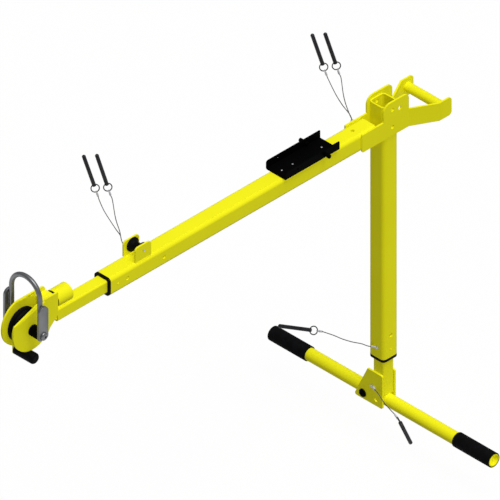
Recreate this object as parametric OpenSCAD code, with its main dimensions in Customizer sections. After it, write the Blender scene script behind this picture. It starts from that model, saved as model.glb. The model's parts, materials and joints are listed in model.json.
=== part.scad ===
// Pole hoist: a portable davit with a square mast, a tilting boom that
// telescopes, a swivelling sheave head with a bail, a telescoping leg and a
// folding crossbar. Millimetres. +Z is up, the boom points along -X, the
// crossbar lies along Y, and the origin is the head's pivot hole.

/* [Mast] */
// Outside width of the mast tube
mast_w = 63; // [60:0.5:66]
// Wall of the mast and boom tubes
tube_wall = 4.76; // [3:0.1:5.5]
// Outer corner radius of the mast and boom tubes
tube_r = 12.7; // [8:0.1:14]
// Height of the mast's open top above the pivot hole
mast_top = 77; // [70:1:86]
// Length of the mast below the pivot hole
mast_down = 842; // [700:1:1000]
// Lock hole's distance up from the mast's lower end
mast_lock_up = 82; // [72:1:110]

/* [Telescoping tubes] */
// Outside width of the leg and of the inner boom
inner_w = 44.45; // [42:0.05:46]
// Corner radius of the leg and of the inner boom
inner_r = 6.35; // [4:0.05:8]
// Wall of the leg and of the inner boom
inner_wall = 4.76; // [3:0.01:5]
// Clearance of everything that slides, on each side
slide_gap = 0.35; // [0.3:0.05:0.5]
// Distance between the lock holes along a sliding tube
hole_pitch = 77; // [70:1:84]
// Diameter of every lock pin's hole
pin_hole_d = 13; // [12.5:0.1:14]
// Thickness of a collar's flange at a tube's mouth
collar_t = 6.5; // [4:0.5:10]
// Depth of a collar's sleeve inside its tube
collar_in = 52; // [40:1:56]
// Length of the guide on a sliding tube's hidden end
guide_len = 45; // [30:1:50]

/* [Boom] */
// Outside width of the boom tube
boom_w = 63.5; // [60:0.5:66]
// Distance from the pivot hole to the boom tube's rear end
boom_rear = 63; // [60:1:70]
// Distance from the pivot hole to the boom tube's front end
boom_front = 1176; // [1100:1:1300]
// First boom lock hole's distance back from the front end
boom_lock_back = 70; // [66:1:90]
// Length of the inner boom in front of the boom tube
inner_out = 214; // [190:1:260]
// Length of the inner boom
inner_len = 890; // [840:1:950]

/* [Head plates] */
// Thickness of the head plates, gussets, cheeks and side plates
plate_t = 6.35; // [5:0.05:8]
// Height of the head plates' top above the pivot hole
head_top = 90; // [86:1:100]
// Half height of the head plates' low part and arms
head_half = 31.75; // [28:0.25:31.75]
// Length of the head plates in front of the pivot hole
head_front = 127; // [115:1:145]
// Where the arms end behind the pivot hole
arm_end = 203; // [190:1:230]
// Half the clear width between the arms' straight ends
arm_half = 77; // [66:1:90]
// Diameter of the carry bar
bar_d = 31.75; // [25:0.25:36]
// Distance of the carry bar behind the pivot hole
bar_x = 178.5; // [176:0.5:182]
// Upper pivot hole's height above the lower one
upper_hole = 62; // [55:1:70]
// Third hole's distance behind the upper one
third_back = 31; // [26:0.5:34]
// Third hole's distance under the upper one
third_drop = 8.3; // [6:0.1:12]
// Front of the plates' tall part in front of the pivot hole
tall_front = 37; // [34:0.5:44]
// Rear of the plates' tall part behind the pivot hole
tall_back = 69; // [60:0.5:70]
// Front corner radius of the tall part
tall_front_r = 28; // [20:0.5:34]
// Rear corner radius of the tall part
tall_back_r = 18; // [12:0.5:24]
// Where the arms start to bend outward
bend_x = 70; // [70:1:76]
// Where the arms run straight again
flat_x = 154; // [148:1:158]

/* [Winch bracket] */
// Length of the bracket
br_len = 224; // [180:1:260]
// Distance of the bracket's rear end in front of the pivot hole
br_rear = 227; // [180:1:260]
// Width of the bracket
br_w = 86; // [70:1:96]
// Height of the bracket's sides above the tube
br_h = 30; // [26:1:40]
// Thickness of the bracket's plate
br_t = 4.76; // [3:0.01:6]
// How far the side bolts stand out of the bracket
bolt_out = 23; // [6:1:24]
// Diameter of the cross hole near the bracket's front
br_hole_d = 7; // [5:0.5:9]

/* [Guide pulley] */
// Distance of the pulley's axle behind the boom's front end
gp_back = 142; // [130:1:170]
// Height of the pulley's axle above the pivot hole
gp_z = 61.5; // [58:0.5:66]
// Diameter of the pulley's flanges
gp_d = 48; // [40:1:50]
// Diameter of the pulley's waist
gp_waist = 30; // [24:1:36]
// Diameter of the pulley's axle
gp_axle_d = 8; // [6:0.5:10]
// Length of the cheeks along the boom
cheek_len = 66; // [56:1:76]
// Height of the cheeks' top above the pivot hole
cheek_top = 85; // [80:1:94]

/* [Swivel head] */
// Outside diameter of the swivel housing
house_d = 57.15; // [50:0.05:60]
// Length of the swivel housing
house_len = 60; // [50:1:80]
// Outside diameter of the hollow spindle
spin_d = 32; // [28:0.5:34]
// Diameter of the rope passage through the spindle
spin_bore = 18; // [12:0.5:22]
// Length of the spindle's sunk nut
nut_l = 9; // [7:0.5:12]
// Diameter of the thrust washer
washer_d = 54; // [50:0.5:64]
// Half the outside width over the side plates
side_half = 28; // [26:0.5:32]
// Distance of the sheave's axis in front of the swivel washer
sheave_out = 108; // [104:1:116]
// Height of the sheave's axis above the pivot hole
sheave_z = 8.5; // [4:0.5:14]
// Diameter of the sheave
sheave_d = 114; // [100:0.5:120]
// Diameter of the sheave at the bottom of its groove
groove_d = 90.8; // [76:0.2:94]
// Width of the sheave
sheave_w = 40; // [34:0.5:40.5]
// Diameter of the sheave bolt
bolt_d = 16; // [12:0.5:18]
// Diameter of the rope peg
peg_d = 36; // [30:1:38]
// How far the rope peg reaches past the head's middle
peg_reach = 51.5; // [44:0.5:56]

/* [Bail] */
// Half the distance between the bail's ears
ear_y = 67; // [64:0.5:70]
// How deep the rods are let into the ears' inner faces
rod_in = 0.4; // [0.3:0.1:1]
// Diameter of the bail's rod
bail_rod_d = 16; // [12:0.5:18]
// Height of the bail's arch centre above the sheave bolt
bail_rise = 121.5; // [112:0.5:150]
// Width of the bail's ears
ear_w = 39.5; // [32:0.5:44]
// Thickness of the bail's ears
ear_t = 9; // [6:0.5:10]
// Height of the ears' tops above the sheave bolt
ear_top = 105; // [95:0.5:108]
// Depth of the ears' lower ends under the sheave bolt
ear_drop = 13; // [12.5:0.5:18]
// Length of the rods' ends on the ears
rod_lap = 58; // [40:1:62]

/* [Foot] */
// Visible length of the leg under the mast's collar
leg_out = 130; // [124:1:150]
// Length of the leg
leg_len = 668.5; // [640:0.5:720]
// Distance of the crossbar's axis under the leg's lower end
bar_drop = 21.5; // [21.2:0.1:24]
// Fold bolt's distance beside the mast's axis
fold_y = 58; // [56:0.5:62]
// Lock hole's distance beside the mast's axis
lock_y = 4; // [0:0.5:6]
// Half the length of the crossbar
cross_half = 464; // [400:1:520]
// Diameter of the crossbar
cross_d = 41.3; // [36:0.1:42]
// Wall of the crossbar
cross_wall = 3.2; // [2:0.1:4]
// Length of each grip
grip_len = 154; // [120:1:180]
// Diameter of each grip
grip_d = 48.6; // [45:0.1:50]
// Diameter of the fold bolt
fold_d = 12; // [10:0.5:14]

/* [Lock pins] */
// Diameter of a lock pin
pin_d = 12; // [10:0.1:12.4]
// Length of a lock pin
pin_len = 107; // [90:1:112]
// Centre radius of a lock pin's ring
ring_r = 12.5; // [11:0.1:14]
// Wire of a lock pin's ring
ring_wire = 2.8; // [1.6:0.1:3]
// Diameter of a lanyard's strand
strand_d = 3; // [2:0.1:3]

/* [Hidden] */
$fn = 48;

// running clearance of a shaft in its bore, on the radius
run = 0.08;
// seat clearance of a fixed piece in its hole, on the radius
seat = 0.04;
in_mast = mast_w - 2 * tube_wall;
in_boom = boom_w - 2 * tube_wall;
in_r = tube_r - tube_wall;
mouth = inner_w + 2 * slide_gap;
mouth_r = inner_r + slide_gap;
pin_r = pin_hole_d / 2;
mast_lock_z = -mast_down + mast_lock_up;
leg_bottom = -mast_down - collar_t - leg_out;
leg_top = leg_bottom + leg_len;
cross_z = leg_bottom - bar_drop;
boom_lock_x = -boom_front + boom_lock_back;
gp_x = boom_front - gp_back;
inner_front = -boom_front - inner_out;
inner_rear = inner_front + inner_len;
screw_r = 2.5;
head_r = 3.3;
// slides of five pitches
steps = 7;
plate_in = boom_w / 2;
plate_out = plate_in + plate_t;
side_in = side_half - plate_t;
house_z = inner_w / 2 + house_d / 2 + 0.2;
washer_x = inner_front - 4;
block_x = washer_x;
sheave_x = washer_x - sheave_out;
peg_x = sheave_x - 9.5;
peg_z = sheave_z - 91.5;
bail_half = ear_y + rod_in - bail_rod_d / 2;
arch_z = sheave_z + bail_rise;
br_z = boom_w / 2;
bolt_z = br_z + 14.25;
br_x1 = -br_rear;
br_x0 = -br_rear - br_len;
gusset_in = inner_w / 2;
gusset_out = gusset_in + plate_t;
yellow = [0.95, 0.92, 0.15];
black = [0.07, 0.07, 0.09];
steel = [0.7, 0.7, 0.72];
zinc = [0.85, 0.85, 0.86];

// two-dimensional helpers
module rounded(w, r) {
  square([w, w - 2 * r], center = true);
  square([w - 2 * r, w], center = true);
  for (sx = [-1, 1], sy = [-1, 1])
    translate([sx * (w / 2 - r), sy * (w / 2 - r)]) circle(r);
}
module ring2(w, r, wi, ri) {
  difference() {
    rounded(w, r);
    rounded(wi, ri);
  }
}
// a box from corner to corner whose four corner radii are given
module panel(x0, x1, z0, z1, r00, r10, r01, r11) {
  difference() {
    translate([x0, z0]) square([x1 - x0, z1 - z0]);
    if (r00 > 0) nip(x0, z0, 1, 1, r00);
    if (r10 > 0) nip(x1, z0, -1, 1, r10);
    if (r01 > 0) nip(x0, z1, 1, -1, r01);
    if (r11 > 0) nip(x1, z1, -1, -1, r11);
  }
}
// what a rounded corner takes away
module nip(x, z, sx, sz, r) {
  difference() {
    translate([x + sx * r / 2, z + sz * r / 2]) square([r + 0.001, r + 0.001], center = true);
    translate([x + sx * r, z + sz * r]) circle(r);
  }
}

// extrusions and cylinders along each axis
module along_x(x0, x1) {
  translate([x0, 0, 0]) rotate([90, 0, 90]) linear_extrude(x1 - x0) children();
}
module along_y(y0, y1) {
  translate([0, y1, 0]) rotate([90, 0, 0]) linear_extrude(y1 - y0) children();
}
module along_z(z0, z1) {
  translate([0, 0, z0]) linear_extrude(z1 - z0) children();
}
module cyl_x(x0, x1, y, z, r) {
  translate([x0, y, z]) rotate([0, 90, 0]) cylinder(h = x1 - x0, r = r);
}
module cyl_y(y0, y1, x, z, r) {
  translate([x, y0, z]) rotate([-90, 0, 0]) cylinder(h = y1 - y0, r = r);
}
module cyl_z(z0, z1, x, y, r) {
  translate([x, y, z0]) cylinder(h = z1 - z0, r = r);
}

// Mast
module mast_tube() {
  color(yellow) difference() {
    along_z(-mast_down, mast_top) ring2(mast_w, tube_r, in_mast, in_r);
    for (z = [0, upper_hole, mast_lock_z]) cyl_y(-50, 50, 0, z, pin_r);
    cyl_y(-50, 50, 0, -mast_down + 30, screw_r + seat);
  }
}
module mast_collar() {
  color(black) difference() {
    union() {
      along_z(-mast_down - collar_t, -mast_down) rounded(mast_w, tube_r);
      along_z(-mast_down, -mast_down + collar_in) rounded(in_mast - 0.1, in_r - 0.05);
    }
    along_z(-mast_down - collar_t - 1, -mast_down + collar_in + 1) rounded(mouth, mouth_r);
    cyl_y(-50, 50, 0, -mast_down + 30, screw_r + seat);
  }
}
module face_screw(y, s) {
  // s is the side it is screwed in from
  translate([0, s * y, 0]) rotate([-90 * s, 0, 0]) {
    translate([0, 0, -7]) cylinder(h = 7.5, r = screw_r);
    cylinder(h = 1.8, r = head_r);
  }
}
module mast_collar_screws() {
  color(zinc) for (s = [-1, 1])
    translate([0, 0, -mast_down + 30]) face_screw(mast_w / 2, s);
}

// Leg
module leg_tube() {
  color(yellow) difference() {
    along_z(leg_bottom, leg_top) ring2(inner_w, inner_r, inner_w - 2 * inner_wall, inner_r - inner_wall + 0.5);
    for (i = [0:5]) cyl_y(-50, 50, 0, mast_lock_z + i * hole_pitch, pin_r);
  }
}
module leg_guide() {
  color(black) along_z(leg_top - guide_len, leg_top)
    ring2(in_mast - 2 * slide_gap, in_r - slide_gap, inner_w + 0.1, inner_r + 0.05);
}
module gusset(x0) {
  yb = cross_z - 21;
  color(yellow) difference() {
    along_x(x0, x0 + plate_t) difference() {
      polygon([[-23, leg_bottom + 76.5], [39, leg_bottom + 76.5],
               [fold_y + 33, yb + 8], [fold_y + 33, yb], [-23, yb]]);
      nip(-23, leg_bottom + 76.5, 1, -1, 6);
      nip(-23, yb, 1, 1, 6);
      nip(fold_y + 33, yb, -1, 1, 6);
    }
    cyl_x(x0 - 1, x0 + plate_t + 1, fold_y, cross_z, fold_d / 2 + seat);
    cyl_x(x0 - 1, x0 + plate_t + 1, lock_y, cross_z, pin_r);
  }
}
module gusset_front() { gusset(-gusset_out); }
module gusset_rear() { gusset(gusset_in); }
module fold_bolt() {
  color(black) {
    cyl_x(-gusset_out, gusset_out + 10, fold_y, cross_z, fold_d / 2);
    cyl_x(-gusset_out - 4.5, -gusset_out, fold_y, cross_z, fold_d / 2 + 7.5);
    translate([-gusset_out - 4.5, fold_y, cross_z]) rotate([0, -90, 0])
      cylinder(h = 3.9, r1 = fold_d / 2 + 7.5, r2 = fold_d / 2 + 3);
  }
}
module fold_nut() {
  color(black) difference() {
    translate([gusset_out, fold_y, cross_z]) rotate([0, 90, 0])
      cylinder(h = 9, r = fold_d * 0.92, $fn = 6);
    cyl_x(gusset_out - 1, gusset_out + 11, fold_y, cross_z, fold_d / 2 + seat);
  }
}

// Crossbar
module crossbar_tube() {
  color(yellow) difference() {
    cyl_y(-cross_half, cross_half, 0, cross_z, cross_d / 2);
    cyl_y(-cross_half - 1, cross_half + 1, 0, cross_z, cross_d / 2 - cross_wall);
    cyl_x(-30, 30, fold_y, cross_z, fold_d / 2 + 4 + seat);
    cyl_x(-30, 30, lock_y, cross_z, pin_r);
  }
}
module grips() {
  color(black) for (s = [-1, 1]) difference() {
    y0 = s < 0 ? -cross_half : cross_half - grip_len;
    cyl_y(y0, y0 + grip_len, 0, cross_z, grip_d / 2);
    cyl_y(y0 - 1, y0 + grip_len + 1, 0, cross_z, cross_d / 2 + seat);
  }
}
module fold_bush() {
  color(steel) difference() {
    cyl_x(-gusset_in + 0.4, gusset_in - 0.4, fold_y, cross_z, fold_d / 2 + 4);
    cyl_x(-30, 30, fold_y, cross_z, fold_d / 2 + run);
  }
}

// Boom
module boom_outer() {
  color(yellow) difference() {
    along_x(-boom_front, -boom_rear) ring2(boom_w, tube_r, in_boom, in_r);
    for (x = [boom_lock_x, boom_lock_x + 2 * hole_pitch]) cyl_y(-50, 50, x, 0, pin_r);
    cyl_y(-50, 50, -boom_front + 30, 0, screw_r + seat);
    cyl_z(0, 50, -130, 0, 6);
    for (x = bracket_screw_x) cyl_z(0, 50, x, 0, screw_r + seat);
  }
}
module boom_collar() {
  color(black) difference() {
    union() {
      along_x(-boom_front - collar_t, -boom_front) rounded(boom_w, tube_r);
      along_x(-boom_front, -boom_front + collar_in) rounded(in_boom - 0.1, in_r - 0.05);
    }
    along_x(-boom_front - collar_t - 1, -boom_front + collar_in + 1) rounded(mouth, mouth_r);
    cyl_y(-50, 50, -boom_front + 30, 0, screw_r + seat);
  }
}
module boom_collar_screws() {
  color(zinc) for (s = [-1, 1])
    translate([-boom_front + 30, 0, 0]) face_screw(boom_w / 2, s);
}

// one head plate's strip seen from above, bent outward behind the mast
flare = atan2(arm_half - plate_in, flat_x - bend_x);
// the mitre's run along the strip at each bend
mitre = plate_t * tan(flare / 2);
module strip() {
  polygon([
    [-head_front, plate_in], [bend_x, plate_in], [flat_x, arm_half], [arm_end, arm_half],
    [arm_end, arm_half + plate_t], [flat_x - mitre, arm_half + plate_t],
    [bend_x - mitre, plate_out], [-head_front, plate_out]
  ]);
}
module plate_side() {
  panel(-head_front, arm_end, -head_half, head_half, 6, 12, 0, 12);
  panel(-tall_front, tall_back, -head_half, head_top, 0, 0, tall_front_r, tall_back_r);
}
module plate(s) {
  color(yellow) difference() {
    mirror([0, s < 0 ? 1 : 0, 0]) intersection() {
      along_z(-head_half - 1, head_top + 1) strip();
      along_y(0, arm_half + plate_t + 1) plate_side();
    }
    for (p = [[0, 0], [0, upper_hole], [third_back, upper_hole - third_drop]])
      cyl_y(-60, 60, p[0], p[1], pin_r);
  }
}
module plate_near() { plate(-1); }
module plate_far() { plate(1); }
module carry_bar() {
  color(yellow) cyl_y(-arm_half, arm_half, bar_x, 0, bar_d / 2);
}

// Winch bracket
bracket_screw_x = [br_x0 + 24, br_x0 + 69, br_x1 - 33];
module winch_bracket() {
  zt = br_z + br_h;
  color(black) difference() {
    along_x(br_x0, br_x1) difference() {
      panel(-br_w / 2, br_w / 2, br_z, zt, 6, 6, 0, 0);
      panel(-br_w / 2 + br_t, br_w / 2 - br_t, br_z + br_t, zt + 1, 1.5, 1.5, 0, 0);
    }
    along_y(-60, 60) nip(br_x0, zt, 1, -1, 8);
    cyl_y(-60, 60, br_x0 + 48.3, br_z + 18.5, br_hole_d / 2);
    cyl_y(-60, 60, br_x1 - 61, bolt_z, 5 + seat);
    for (x = bracket_screw_x) cyl_z(0, 50, x, 0, screw_r + seat);
  }
}
module bracket_screws() {
  color(zinc) for (x = bracket_screw_x) {
    cyl_z(br_z - tube_wall + 0.3, br_z + br_t, x, 0, screw_r);
    cyl_z(br_z + br_t, br_z + br_t + 2, x, 0, head_r);
  }
}
module bracket_bolts() {
  color(black) for (s = [-1, 1]) mirror([0, s < 0 ? 1 : 0, 0]) {
    cyl_y(br_w / 2 - br_t - 8, br_w / 2, br_x1 - 61, bolt_z, 5);
    cyl_y(br_w / 2, br_w / 2 + bolt_out, br_x1 - 61, bolt_z, 9.5);
    translate([br_x1 - 61, br_w / 2 - br_t, bolt_z]) rotate([90, 0, 0])
      cylinder(h = 6, r = 8.5, $fn = 6);
  }
}

// Guide pulley
module cheek(y0) {
  color(yellow) difference() {
    along_y(y0, y0 + plate_t)
      panel(-gp_x - cheek_len / 2 - 2, -gp_x + cheek_len / 2 - 2, boom_w / 2, cheek_top, 0, 0, 13, 13);
    cyl_y(y0 - 1, y0 + plate_t + 1, -gp_x, gp_z, gp_axle_d / 2 + seat);
  }
}
module cheek_near() { cheek(-side_half); }
module cheek_far() { cheek(side_in); }
module pulley_axle() {
  color(zinc) cyl_y(-side_half - 0.8, side_half + 0.8, -gp_x, gp_z, gp_axle_d / 2);
}
module guide_pulley() {
  w = side_in - 0.35;
  color(black) translate([-gp_x, 0, gp_z]) rotate([-90, 0, 0]) rotate_extrude()
    polygon([[gp_axle_d / 2 + 4, -w], [gp_d / 2, -w], [gp_d / 2, -w + 4.5],
             [gp_waist / 2, -w + 12], [gp_waist / 2, w - 12],
             [gp_d / 2, w - 4.5], [gp_d / 2, w], [gp_axle_d / 2 + 4, w]]);
}
module pulley_bush() {
  color(steel) difference() {
    cyl_y(-side_in + 0.35, side_in - 0.35, -gp_x, gp_z, gp_axle_d / 2 + 4 - seat);
    cyl_y(-30, 30, -gp_x, gp_z, gp_axle_d / 2 + run);
  }
}

// Inner boom
module boom_inner() {
  color(yellow) difference() {
    along_x(inner_front, inner_rear)
      ring2(inner_w, inner_r, inner_w - 2 * inner_wall, inner_r - inner_wall + 0.5);
    for (i = [0:steps]) cyl_y(-50, 50, boom_lock_x + i * hole_pitch, 0, pin_r);
  }
}
module boom_guide() {
  color(black) along_x(inner_rear - guide_len, inner_rear)
    ring2(in_boom - 2 * slide_gap, in_r - slide_gap, inner_w + 0.1, inner_r + 0.05);
}
module swivel_housing() {
  color(yellow) difference() {
    union() {
      cyl_x(inner_front, inner_front + house_len, 0, house_z, house_d / 2);
      // the weld bead along the tube's top
      translate([inner_front, -6, inner_w / 2]) cube([house_len, 12, 3]);
    }
    cyl_x(inner_front - 1, inner_front + house_len + 1, 0, house_z, spin_d / 2 + 5);
  }
}
module swivel_bushes() {
  xe = inner_front + house_len;
  color(steel) for (x = [[inner_front, inner_front + 20], [xe - nut_l - 12.8, xe - nut_l - 0.8]])
    difference() {
      cyl_x(x[0], x[1], 0, house_z, spin_d / 2 + 5 - seat);
      cyl_x(x[0] - 1, x[1] + 1, 0, house_z, spin_d / 2 + run);
    }
}

// Swivel head
module swivel_block() {
  color(yellow) difference() {
    translate([block_x - 44, -side_in, house_z - 24]) cube([44, 2 * side_in, 48]);
    cyl_x(block_x - 50, block_x + 1, 0, house_z, spin_d / 2 + seat);
  }
}
module swivel_spindle() {
  xe = inner_front + house_len;
  color(steel) difference() {
    union() {
      cyl_x(block_x - 44, xe - 0.4, 0, house_z, spin_d / 2);
      // the nut, sunk in the housing, keeps the spindle in
      cyl_x(xe - nut_l - 0.4, xe - 0.4, 0, house_z, spin_d / 2 + 4.6);
    }
    cyl_x(block_x - 50, xe + 1, 0, house_z, spin_bore / 2);
  }
}
module swivel_washer() {
  color(black) difference() {
    cyl_x(washer_x, inner_front - 0.4, 0, house_z, washer_d / 2);
    cyl_x(washer_x - 1, inner_front + 1, 0, house_z, spin_d / 2 + seat);
  }
}
module side_near_2d() {
  r = 82.6;
  cx = sheave_x + 2.4;
  cz = sheave_z + 10.2;
  difference() {
    union() {
      translate([cx, cz]) circle(r);
      polygon([[cx, cz], [cx, house_z + 39], [washer_x, house_z + 39],
               [washer_x, sheave_z + 1.5], [cx + 34, cz - 75.3]]);
    }
    polygon([[cx - 120, house_z - 15], [cx + 29.6, house_z + 39], [washer_x + 1, house_z + 39],
             [washer_x + 1, house_z + 90], [cx - 120, house_z + 90]]);
  }
}
module side_far_2d() {
  r = 80;
  cx = sheave_x + 2.5;
  cz = sheave_z + 6;
  difference() {
    union() {
      translate([cx, cz]) circle(r);
      polygon([[cx, cz], [cx, house_z + 42], [washer_x - 4, house_z + 42],
               [washer_x - 4, sheave_z + 1.5], [cx + 36, cz - 71.5]]);
    }
    nip(washer_x - 4, house_z + 42, -1, -1, 14);
    translate([cx - 100, house_z + 42]) square([100 + sheave_out, 20]);
  }
}
module side_plate_near() {
  color(yellow) difference() {
    along_y(-side_half, -side_in) side_near_2d();
    cyl_y(-50, 0, sheave_x, sheave_z, bolt_d / 2 + seat);
  }
}
module side_plate_far() {
  color(yellow) difference() {
    along_y(side_in, side_half) side_far_2d();
    cyl_y(0, 50, sheave_x, sheave_z, bolt_d / 2 + seat);
  }
}
ear_out = ear_y + ear_t;
module sheave_bolt() {
  color(black) {
    cyl_y(-ear_out - 1, ear_out + 4, sheave_x, sheave_z, bolt_d / 2);
    difference() {
      union() {
        cyl_y(-ear_out - 4, -ear_out - 0.3, sheave_x, sheave_z, 13.5);
        translate([sheave_x, -ear_out - 4, sheave_z]) rotate([90, 0, 0])
          cylinder(h = 4, r1 = 13.5, r2 = 9);
      }
      translate([sheave_x, -ear_out - 5, sheave_z]) rotate([90, 0, 0])
        cylinder(h = 6, r = 5.5, $fn = 6);
    }
  }
}
module sheave_nut() {
  color(black) difference() {
    cyl_y(ear_out + 0.3, ear_out + 8, sheave_x, sheave_z, 13.5);
    cyl_y(ear_out - 1, ear_out + 4.5, sheave_x, sheave_z, bolt_d / 2 + seat);
  }
}
module sheave_spacers() {
  color(black) for (s = [-1, 1]) mirror([0, s < 0 ? 1 : 0, 0]) difference() {
    cyl_y(side_half, ear_y - 0.3, sheave_x, sheave_z, 18.5);
    cyl_y(side_half - 1, ear_y + 1, sheave_x, sheave_z, bolt_d / 2 + seat);
  }
}
module peg_tab() {
  color(yellow) along_y(side_half, side_half + plate_t)
    panel(peg_x - 13.5, peg_x + 13.5, peg_z - peg_d / 2, sheave_z - 38, 10, 10, 8, 8);
}
module rope_peg() {
  r = 8;
  y0 = -peg_reach;
  color(black) {
    cyl_y(y0 + r, side_half, peg_x, peg_z, peg_d / 2);
    cyl_y(y0, y0 + r, peg_x, peg_z, peg_d / 2 - r);
    translate([peg_x, y0 + r, peg_z]) rotate([-90, 0, 0])
      rotate_extrude() translate([peg_d / 2 - r, 0]) circle(r);
  }
}
module end_sheave() {
  w = sheave_w / 2;
  color(black) translate([sheave_x, 0, sheave_z]) rotate([-90, 0, 0]) rotate_extrude()
    polygon([[bolt_d / 2 + 4, -w], [20, -w], [22, -w + 7], [36, -w + 7], [38, -w],
             [sheave_d / 2, -w], [sheave_d / 2, -w + 6], [groove_d / 2, -6],
             [groove_d / 2, 6], [sheave_d / 2, w - 6], [sheave_d / 2, w],
             [38, w], [36, w - 7], [22, w - 7], [20, w], [bolt_d / 2 + 4, w]]);
}
module sheave_bush() {
  color(steel) difference() {
    cyl_y(-side_in + 0.4, side_in - 0.4, sheave_x, sheave_z, bolt_d / 2 + 4 - seat);
    cyl_y(-30, 30, sheave_x, sheave_z, bolt_d / 2 + run);
  }
}

// Bail
module bail() {
  color([0.47, 0.48, 0.5]) difference() {
    union() {
      for (s = [-1, 1]) mirror([0, s < 0 ? 1 : 0, 0]) {
        along_y(ear_y, ear_out) union() {
          panel(sheave_x - ear_w / 2, sheave_x + ear_w / 2, sheave_z - ear_drop,
                sheave_z + ear_top - ear_w / 2, 8, 8, 0, 0);
          translate([sheave_x, sheave_z + ear_top - ear_w / 2]) circle(ear_w / 2);
        }
        cyl_z(sheave_z + ear_top - rod_lap, arch_z, sheave_x, bail_half, bail_rod_d / 2);
      }
      intersection() {
        translate([sheave_x, 0, arch_z]) rotate([0, 90, 0])
          rotate_extrude() translate([bail_half, 0]) circle(bail_rod_d / 2);
        translate([sheave_x - 20, -100, arch_z]) cube([40, 200, 100]);
      }
    }
    cyl_y(-100, 100, sheave_x, sheave_z, bolt_d / 2 + run);
  }
}

// Lanyards: a strand runs from its stud to the loop that holds a pin's ring
function unit(v) = v / norm(v);
function mid(p, i) = let (n = len(p) - 1,
    a = i > 0 ? p[i - 1] : 2 * p[0] - p[1],
    d = i + 2 <= n ? p[i + 2] : 2 * p[n] - p[n - 1])
  (9 * (p[i] + p[i + 1]) - a - d) / 16;
function smooth(p) = [for (i = [0:len(p) - 2]) each [p[i], mid(p, i)], p[len(p) - 1]];
module strand(route, ref) {
  q = smooth(route);
  n = len(q);
  m = 8;
  pts = [for (i = [0:n - 1]) let (
      t = unit(q[min(i + 1, n - 1)] - q[max(i - 1, 0)]),
      a = unit(cross(t, ref)), b = cross(t, a))
    for (j = [0:m - 1]) q[i] + strand_d / 2 * (cos(360 * j / m) * a + sin(360 * j / m) * b)];
  faces = [
    for (i = [0:n - 2], j = [0:m - 1]) let (k = (j + 1) % m)
      each [[i * m + j, (i + 1) * m + j, (i + 1) * m + k], [i * m + j, (i + 1) * m + k, i * m + k]],
    for (j = [1:m - 2]) [0, j, j + 1],
    for (j = [1:m - 2]) [(n - 1) * m, (n - 1) * m + j + 1, (n - 1) * m + j]
  ];
  polyhedron(pts, faces);
}
// each pin: the centre of its ring and the way the pin stands
c_a = [-1106.7, 103.9, 259.5];
d_a = unit([-11.5, 33.4, 97.3]);
c_b = [-1078, 79.6, 260.9];
d_b = unit([-11.6, 31.6, 98.4]);
c_c = [-132.4, 118.7, 205.3];
d_c = unit([-10.9, 34.1, 97.9]);
c_d = [-103.1, 94.7, 207.4];
d_d = unit([-11.7, 33.2, 99.4]);
c_m = [-97.6, 195.9, -808.2];
d_m = unit([-37.7, 94.1, -13.3]);
c_f = [-79, -145.8, -975.8];
d_f = unit([42.4, -1.6, -94.4]);
// the cords are drawn for the sizes in the photograph and move with what they hang on
gp_shift = [1034 - gp_x, 0, 0];
mast_shift = [0, 0, 842 - mast_down];
foot_shift = [0, 0, leg_bottom + 978.5];
// the foot's strand reaches its ring from the side
e_f = unit([-8, -27.8, -6.2]);
stud_boom = [-1052, side_half, 40];
stud_head = [-95, plate_out, 12];
stud_mast = [-mast_w / 2, -7, -802];
stud_foot = [-gusset_out, 19, -955];
eye_out = ring_r;
crimp = 12;
function end_of(c, e) = c - (eye_out + 4 + crimp + 0.2) * e;

module strand_a() { color("silver") translate(gp_shift) strand([stud_boom + [-1.9, 1.7, 5.5], [-1067.7, 32, 85.7],
  [-1068.6, 37, 102.9], [-1077.1, 48.7, 125.7], [-1094.8, 75.1, 180.6],
  [-1102.1, 89.9, 217.6], end_of(c_a, d_a)], [1, 0, 0]); }
module strand_b() { color("silver") translate(gp_shift) strand([stud_boom + [0.9, 5.1, 5.7], [-1064.5, 35.2, 82.5],
  [-1066.4, 41.3, 113.9], [-1071.6, 48.3, 144.3], [-1072.8, 55, 169.5],
  [-1072.5, 65.8, 218.5], end_of(c_b, d_b)], [1, 0, 0]); }
module strand_c() { color("silver") strand([stud_head + [0.7, 1.7, 5.8], [-90.3, 42, 29.5],
  [-93.4, 49.7, 49.7], [-106.1, 66.5, 80.4], [-117, 83.7, 116.2],
  [-127.4, 104.4, 165.6], end_of(c_c, d_c)], [1, 0, 0]); }
module strand_d1() { color("silver") strand([stud_head + [2.1, 5.1, 5.5], [-87.1, 45.2, 26.3],
  [-90.4, 52.7, 46.7], [-97.2, 62.8, 85.1], [-98.7, 70.9, 118.1],
  [-97.6, 80.4, 165.6], end_of(c_d, d_d)], [1, 0, 0]); }
module strand_mast() { color("silver") translate(mast_shift) strand([stud_mast + [-1.7, 5.8, -0.7], [-43.9, 21.2, -804.4],
  [-49.5, 41.7, -803.9], [-60.6, 72.6, -806.5], [-69.4, 101.9, -806.9],
  [-76.8, 133.1, -805], end_of(c_m, d_m)], [0, 0, 1]); }
module strand_foot() { color("silver") translate(foot_shift) strand([stud_foot + [-1.7, -5.7, -1], [-36, 0.5, -956.5],
  [-44, -23.4, -957.3], [-54, -56.1, -966.5], [-64, -91.7, -968.8], end_of(c_f, e_f)], [0, 0, 1]); }

// turns its children's +Z to d
module stand(d) { rotate([0, acos(d[2]), atan2(d[1], d[0])]) children(); }
// the ring faces the photograph's camera as nearly as its pin allows
view = unit([1, 1, -1]);
function facing(d) = unit(view - (view * d) * d);
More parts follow.
